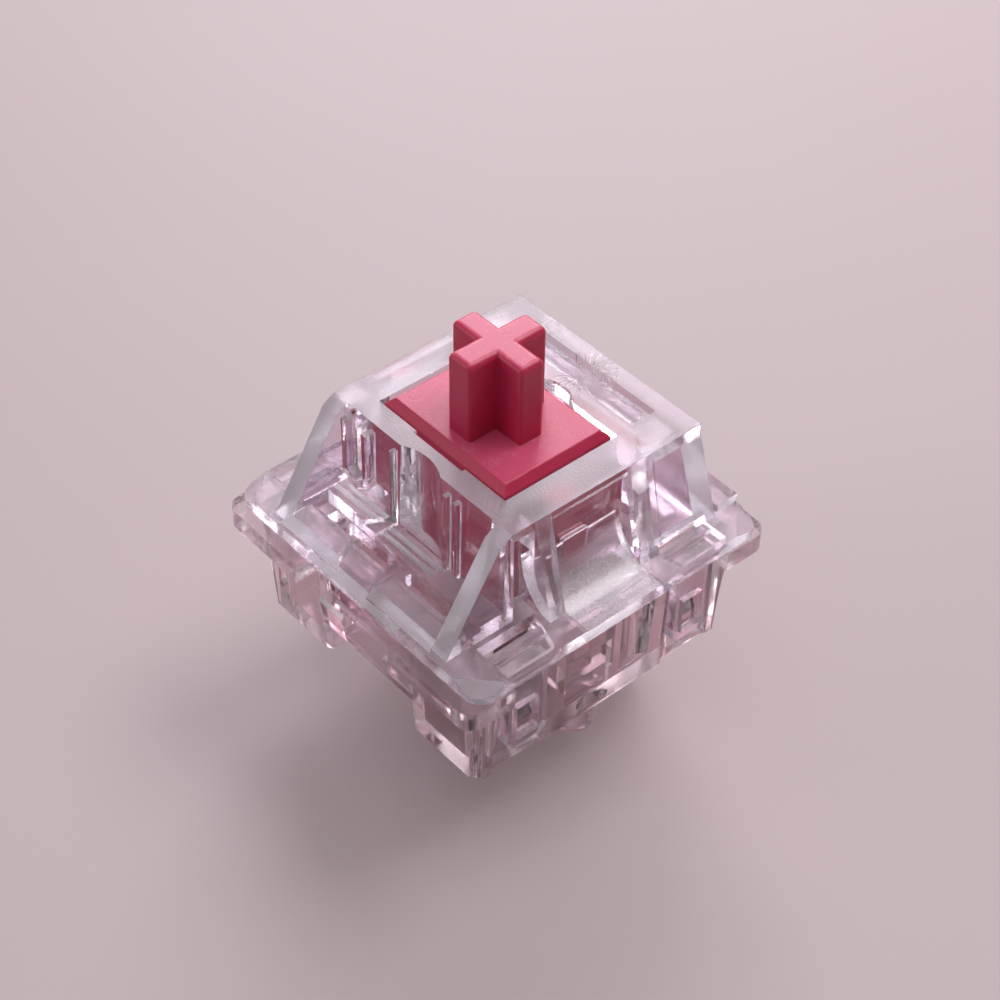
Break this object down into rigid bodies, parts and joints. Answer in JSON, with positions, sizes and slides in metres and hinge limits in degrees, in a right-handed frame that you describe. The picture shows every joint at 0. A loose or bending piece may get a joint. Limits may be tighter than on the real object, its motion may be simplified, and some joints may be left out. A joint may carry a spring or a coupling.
{
  "type": "keyboard switch",
  "caption": "Keyboard switch with a sprung cross stem in a clear two-part housing, a leaf contact pair, and posts and pins for a circuit board.",
  "frame": {"origin": "on the axis of the centre post, on the face of the circuit board that the switch stands on", "axes": "+Z along the stem, towards its top; -Y towards the light slots; +Y towards the two contact strips; +X to the right when the light slots face the viewer"},
  "size_m": [0.0156, 0.0162, 0.0185],
  "materials": {
    "clear_lower_housing": "clear moulded polycarbonate, polished, with finely frosted patches",
    "clear_upper_housing": "clear moulded polycarbonate, polished, with a finely frosted top",
    "pink_stem": "satin moulded acetal, coral pink",
    "spring_wire": "bright drawn spring wire",
    "contact_strip": "rolled phosphor bronze strip, pins tinned by handling",
    "contact_point": "gold alloy, welded on"
  },
  "bodies": {
    "housing": {"lower_housing": "clear_lower_housing", "upper_housing": "clear_upper_housing", "return_spring": "spring_wire", "contact_leaf": "contact_strip", "contact_blade": "contact_strip", "leaf_contact_point": "contact_point", "blade_contact_point": "contact_point"},
    "stem": {"stem": "pink_stem"}
  },
  "joints": [
    {"name": "stem_slide", "type": "slide", "parent": "housing", "child": "stem", "axis": [0, 0, -1], "range_m": [0, 0.004], "stiffness_N_per_m": 60, "springref_m": -0.0057, "deforming": ["return_spring"]}
  ]
}
